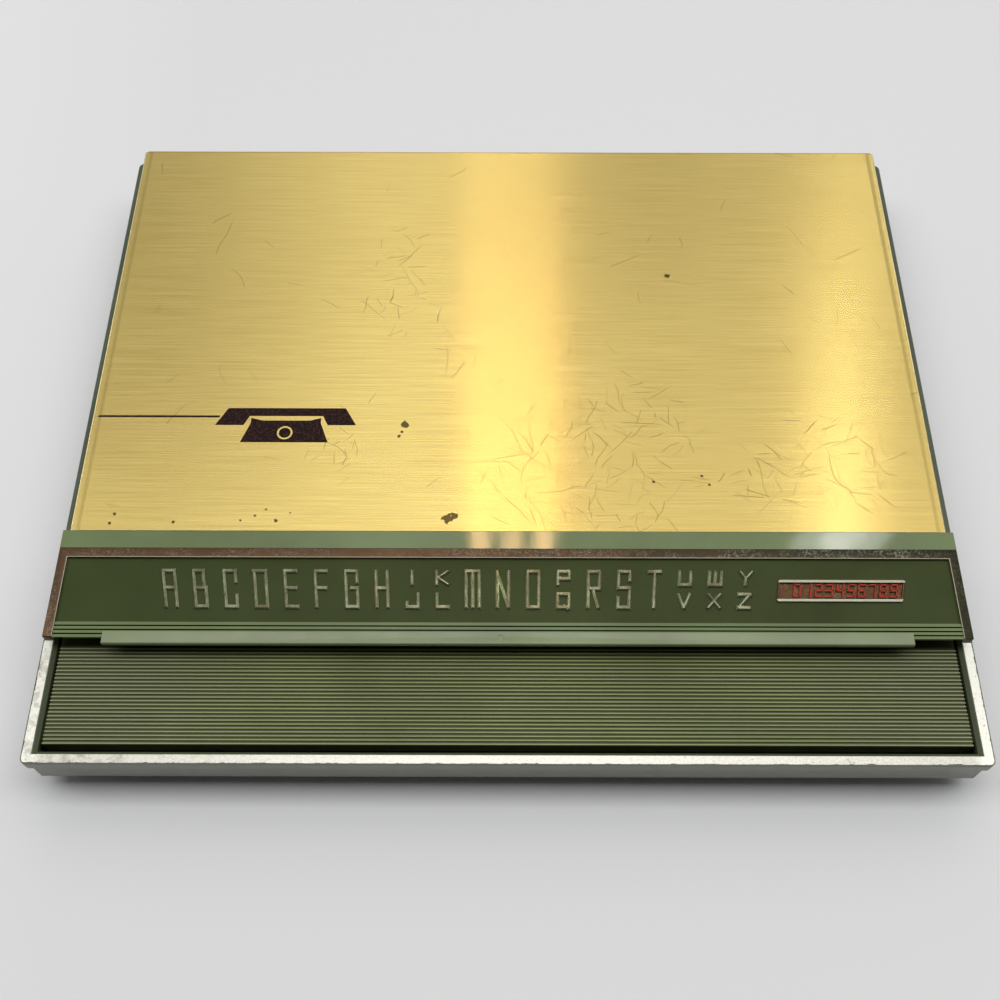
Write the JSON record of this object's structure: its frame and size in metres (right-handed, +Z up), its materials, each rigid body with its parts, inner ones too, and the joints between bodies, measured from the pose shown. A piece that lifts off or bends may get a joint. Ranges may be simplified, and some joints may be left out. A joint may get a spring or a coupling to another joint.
{
  "type": "pop up telephone index",
  "caption": "Slim desk telephone index: brass faced lid hinged at the rear, alphabet in raised letters, ribbed touch bar in front, tabbed leaves on wire rings inside.",
  "frame": {"origin": "on the desk under the middle of the tray", "axes": "+X to the right along the letters, +Y to the hinge at the rear, +Z up"},
  "size_m": [0.255, 0.212, 0.0267],
  "materials": {
    "green_plastic": "moulded, satin gloss",
    "panel_plastic": "moulded, satin",
    "silver_foil": "hot stamped foil, worn",
    "brushed_brass": "brushed and lacquered",
    "tarnished_chrome": "polished, tarnished",
    "plated_letters": "plated, worn",
    "cover_steel": "dark enamel",
    "bright_steel": "plated",
    "spring_steel": "drawn wire",
    "ring_chrome": "plated wire",
    "leaf_card": "smooth card",
    "foot_rubber": "moulded rubber"
  },
  "bodies": {
    "base": {"base_tray": "green_plastic", "rim_foil": "silver_foil", "bottom_cover": "cover_steel", "cover_screws": "bright_steel", "foot_front_left": "foot_rubber", "foot_front_right": "foot_rubber", "foot_rear_left": "foot_rubber", "foot_rear_right": "foot_rubber", "binder_strip": "cover_steel", "binder_rivets": "bright_steel", "binder_ring_1": "ring_chrome", "binder_ring_2": "ring_chrome", "binder_ring_3": "ring_chrome", "binder_ring_4": "ring_chrome", "hinge_rod": "bright_steel", "hinge_spring_left": "spring_steel", "hinge_spring_right": "spring_steel", "bar_pivot_rod": "bright_steel", "bar_spring_left": "spring_steel", "bar_spring_right": "spring_steel", "leaf_m": "leaf_card", "leaf_n": "leaf_card", "leaf_o": "leaf_card", "leaf_p_q": "leaf_card", "leaf_r": "leaf_card", "leaf_s": "leaf_card", "leaf_t": "leaf_card", "leaf_u_v": "leaf_card", "leaf_w_x": "leaf_card", "leaf_y_z": "leaf_card", "leaf_numbers": "leaf_card"},
    "lid": {"lid_shell": "green_plastic", "lid_plate": "brushed_brass", "letter_panel": "panel_plastic", "band_trim": "tarnished_chrome", "finger_ledge": "green_plastic", "label_plate": "tarnished_chrome", "index_letters": "plated_letters", "catch_strip": "cover_steel", "catch_rivets": "bright_steel"},
    "bar": {"touch_bar": "green_plastic", "latch_strip": "cover_steel", "latch_rivets": "bright_steel"},
    "lifted_leaves": {"leaf_a": "leaf_card", "leaf_b": "leaf_card", "leaf_c": "leaf_card", "leaf_d": "leaf_card", "leaf_e": "leaf_card", "leaf_f": "leaf_card", "leaf_g": "leaf_card", "leaf_h": "leaf_card", "leaf_i_j": "leaf_card", "leaf_k_l": "leaf_card"}
  },
  "joints": [
    {"name": "lid_hinge", "type": "hinge", "parent": "base", "child": "lid", "pos_m": [0, 0.1024, 0.0216], "axis": [-1, 0, 0], "range_deg": [0, 72]},
    {"name": "leaf_turn", "type": "hinge", "parent": "base", "child": "lifted_leaves", "pos_m": [0, 0.0925, 0.0166], "axis": [-1, 0, 0], "range_deg": [0, 74.16]},
    {"name": "bar_press", "type": "hinge", "parent": "base", "child": "bar", "pos_m": [0, -0.0657, 0.013], "axis": [1, 0, 0], "range_deg": [0, 3.5], "stiffness_Nm_per_rad": 1, "springref_deg": -5.73, "deforming": ["bar_spring_left", "bar_spring_right"]}
  ],
  "couplings": [
    {"joint": "leaf_turn", "follows": "lid_hinge", "ratio": 1.03}
  ]
}
